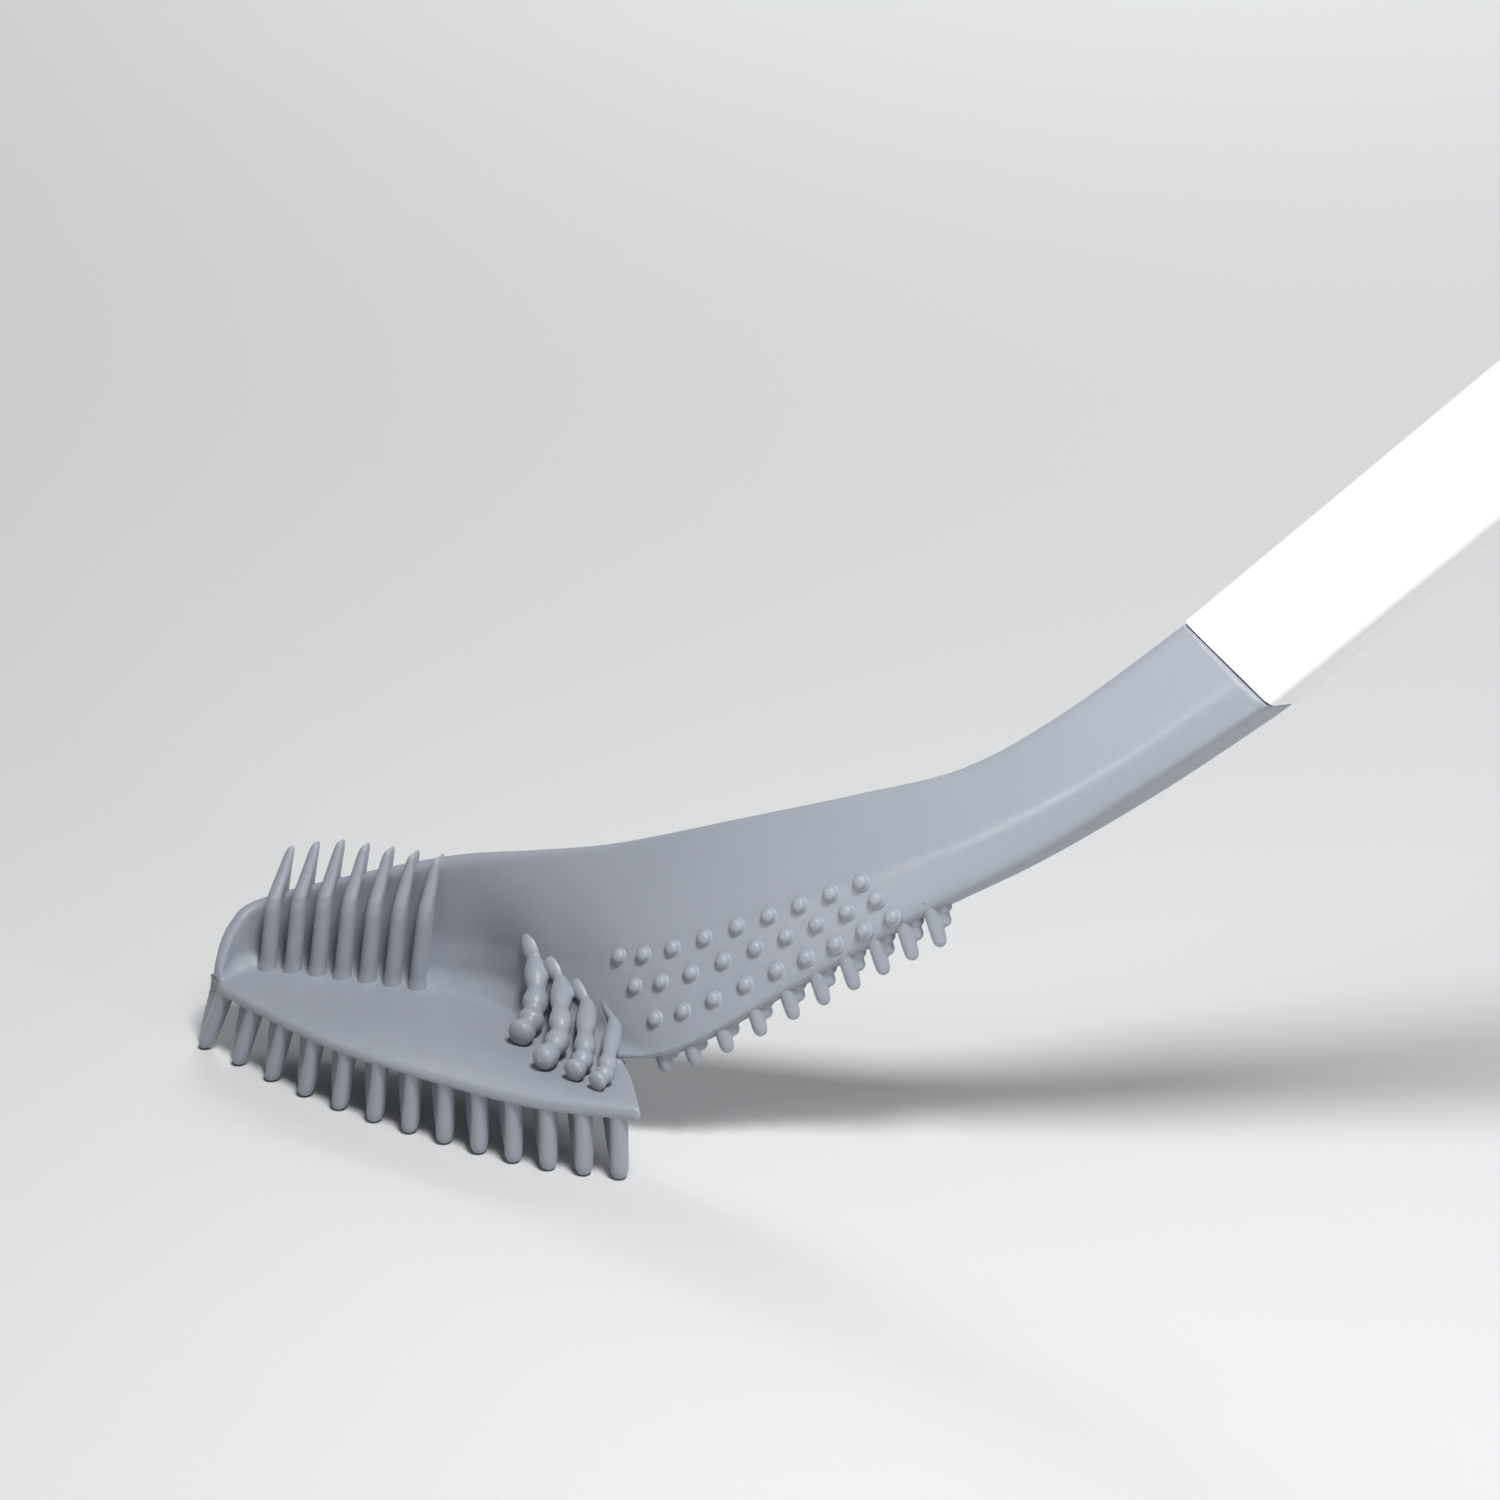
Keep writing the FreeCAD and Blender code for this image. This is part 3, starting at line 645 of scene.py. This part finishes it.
# ---- Edge fins --------------------------------------------------------------------------
# A comb of ten teeth along the blade's lower edge, growing from the heel up.  Each tooth is a
# tapering finger with two shorter ones run into its side, which make its scalloped lobe.
EDGE_FINS = 10
FIRST_EDGE_FIN = 6.0        # place along the ribs, as the step is
EDGE_FIN_STEP = 0.23
EDGE_FIN_SHORTEST = 4.4
EDGE_FIN_GROWTH = 3.8
EDGE_FIN_BURIED = 0.8
EDGE_FIN_RADIUS = 1.6
TOOTH_VOXEL = 0.25 * MM


def round_tube(points, radii, sides=16):
    """A tube of changing radius along a line, with domed ends."""
    points = [Vector(point) for point in points]
    rings = []
    side = None
    for number, (point, radius) in enumerate(zip(points, radii)):
        ahead = points[min(number + 1, len(points) - 1)] - points[max(number - 1, 0)]
        ahead.normalize()
        side = side or ahead.orthogonal()
        side = (side - ahead * side.dot(ahead)).normalized()
        other = ahead.cross(side)
        angles = [2 * pi * number / sides for number in range(sides)]
        rings.append([point + (side * cos(angle) + other * sin(angle)) * radius for angle in angles])
    return skin_over(rings)


def finger(start, way, length, radius, tip):
    """A straight finger with a flared root and a round tip."""
    steps = [(-0.10, 1.25), (0.03, 1.12), (0.14, 1.0), (0.45, 0.95), (0.75, 0.9)]
    points = [start + way * length * share for share, _ in steps]
    radii = [radius * width for _, width in steps]
    end_radius = radius * tip
    for step in range(5):
        angle = pi / 2 * step / 4.3
        points.append(start + way * (length - end_radius * (1 - sin(angle))))
        radii.append(end_radius * cos(angle))
    return round_tube(points, radii)


def edge_fin(number):
    place = FIRST_EDGE_FIN - EDGE_FIN_STEP * number
    share = number / (EDGE_FINS - 1)
    length = (EDGE_FIN_SHORTEST + EDGE_FIN_GROWTH * share ** 0.7) * MM
    edge, ahead, behind = rib(place)[1], rib(place - RIB_STEP)[1], rib(place + RIB_STEP)[1]
    up_edge = (ahead - behind).normalized()
    way = Vector((0.30, 0.0, -1.0)).normalized()
    root = edge + Vector((0, 2.4, 0)) * MM - way * EDGE_FIN_BURIED * MM
    main = finger(root, way, length + EDGE_FIN_BURIED * MM, EDGE_FIN_RADIUS * MM, 0.85)
    lobe_root = root + up_edge * 1.7 * MM + Vector((0, 1.0, 0)) * MM
    lobes = [finger(lobe_root, way, length * 0.74, 1.4 * MM, 0.95),
             finger(lobe_root + up_edge * 0.8 * MM, way, length * 0.45, 1.5 * MM, 1.0)]
    return [main] + lobes


edge_fins = mesh_piece("edge_fin_comb", [shell for number in range(EDGE_FINS)
                                         for shell in edge_fin(number)])
mould(edge_fins, TOOTH_VOXEL, 2)
edge_fins.data.materials.append(grey_rubber)
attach(edge_fins, "head")
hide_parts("edge_fins")

# ---- Heel fingers -----------------------------------------------------------------------
# Four curled fingers rise as ridges out of the blade and bend down over the plate in the
# corner at the heel.  Each is a string of five beads, the first of them half sunk in the wall.
HEEL_FINGERS = [
    [(4.0, -1.4, 15.0), (6.3, -4.9, 11.0), (8.6, -10.0, 7.2),
     (9.6, -14.5, 4.4), (9.7, -18.0, 3.0), (9.0, -21.9, 2.4)],
    [(9.5, -5.4, 12.0), (13.0, -8.2, 9.0), (16.0, -16.5, 6.6),
     (17.8, -21.5, 4.3), (18.2, -26.5, 3.0), (17.3, -31.4, 2.3)],
    [(16.5, -9.4, 10.0), (20.0, -12.8, 7.2), (23.3, -22.5, 5.0),
     (25.0, -27.4, 3.4), (25.2, -30.8, 2.5), (24.5, -33.6, 2.1)],
    [(23.5, -12.6, 9.0), (27.0, -16.6, 6.0), (29.8, -27.0, 3.8),
     (30.9, -31.4, 2.6), (30.8, -34.0, 2.1), (30.2, -36.0, 1.9)],
]
FINGER_RADIUS = [2.65, 2.4, 2.2, 1.9]
BEADS = 5
FINGER_STEPS = 36
FINGER_VOXEL = 0.28 * MM


def heel_finger(points, radius):
    line, radii = [], []
    for step in range(FINGER_STEPS + 1):
        share = step / FINGER_STEPS
        line.append(at(*smooth_between(points, share * (len(points) - 1))))
        bead = abs(sin(pi * (share * BEADS)))
        grown = 0.82 + 0.18 * min(1.0, share * 1.5)
        close = sqrt(max(0.02, 1 - max(0.0, (share - 0.93) / 0.07) ** 2))
        radii.append(radius * MM * grown * (0.62 + 0.40 * bead ** 0.7) * close)
    return round_tube(line, radii)


heel_fingers = mesh_piece("heel_finger_group", [heel_finger(points, radius)
                                                for points, radius in zip(HEEL_FINGERS, FINGER_RADIUS)])
mould(heel_fingers, FINGER_VOXEL, 2)
heel_fingers.data.materials.append(grey_rubber)
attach(heel_fingers, "head")
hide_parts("heel_fingers")

# ---- Handle -----------------------------------------------------------------------------
# Two glossy white polypropylene shells welded together, with a bush of the same plastic
# through the hanging hole.  The designed shapes stay and only get their finish.


def white_plastic():
    """Glossy moulded polypropylene: faint sink and flow, and the odd fine scuff from hands."""
    plastic = Finish("gloss_white_plastic")
    cloud = plastic.noise(22.0, 3.0, 0.5)
    sink = plastic.noise(60.0, 1.0, 0.4)
    scuff = plastic.noise(1400.0, 2.0, 0.6, (1.0, 6.0, 1.0))
    colour = plastic.tint(plastic.between(cloud, 0.0, 1.0), (0.86, 0.865, 0.87), (0.89, 0.89, 0.89))
    rough = plastic.between(cloud, 0.20, 0.27) + (scuff - 0.5) * 0.10
    plastic.set(Base_Color=colour, Roughness=rough, Normal=plastic.bumps(sink, 0.0002, 0.25), IOR=1.49,
                Coat_Weight=0.15)
    return plastic.material


def dress(nodes, material):
    """Give carried-over parts their finish."""
    for node in nodes:
        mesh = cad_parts[node].data
        mesh.materials.clear()
        mesh.materials.append(material)


dress(["handle_front_shell", "handle_back_shell", "hanging_eyelet"], white_plastic())

# ---- Seam ring and core -----------------------------------------------------------------
# A thin black rubber ring sits in the seam.  The spigot, the socket round it and the strip in
# the blade are plain grey polypropylene, with the dull grain of parts that nobody sees.


def black_rubber():
    rubber = Finish("seam_black_rubber")
    dust = rubber.noise(900.0, 3.0)
    colour = rubber.tint(rubber.between(dust, 0.0, 1.0), (0.016, 0.017, 0.019), (0.03, 0.031, 0.034))
    rough = rubber.between(dust, 0.55, 0.7)
    rubber.set(Base_Color=colour, Roughness=rough, Normal=rubber.bumps(dust, 0.00004, 0.5))
    return rubber.material


def core_plastic():
    plastic = Finish("dull_core_plastic")
    cloud = plastic.noise(90.0, 3.0)
    grain = plastic.noise(1800.0, 2.0)
    colour = plastic.tint(plastic.between(cloud, 0.0, 1.0), (0.46, 0.47, 0.49), (0.53, 0.54, 0.555))
    rough = plastic.between(cloud, 0.42, 0.52)
    plastic.set(Base_Color=colour, Roughness=rough, Normal=plastic.bumps(grain, 0.00004, 0.5))
    return plastic.material


dress(["seam_ring"], black_rubber())
dress(["handle_spigot", "neck_socket", "blade_stiffener"], core_plastic())
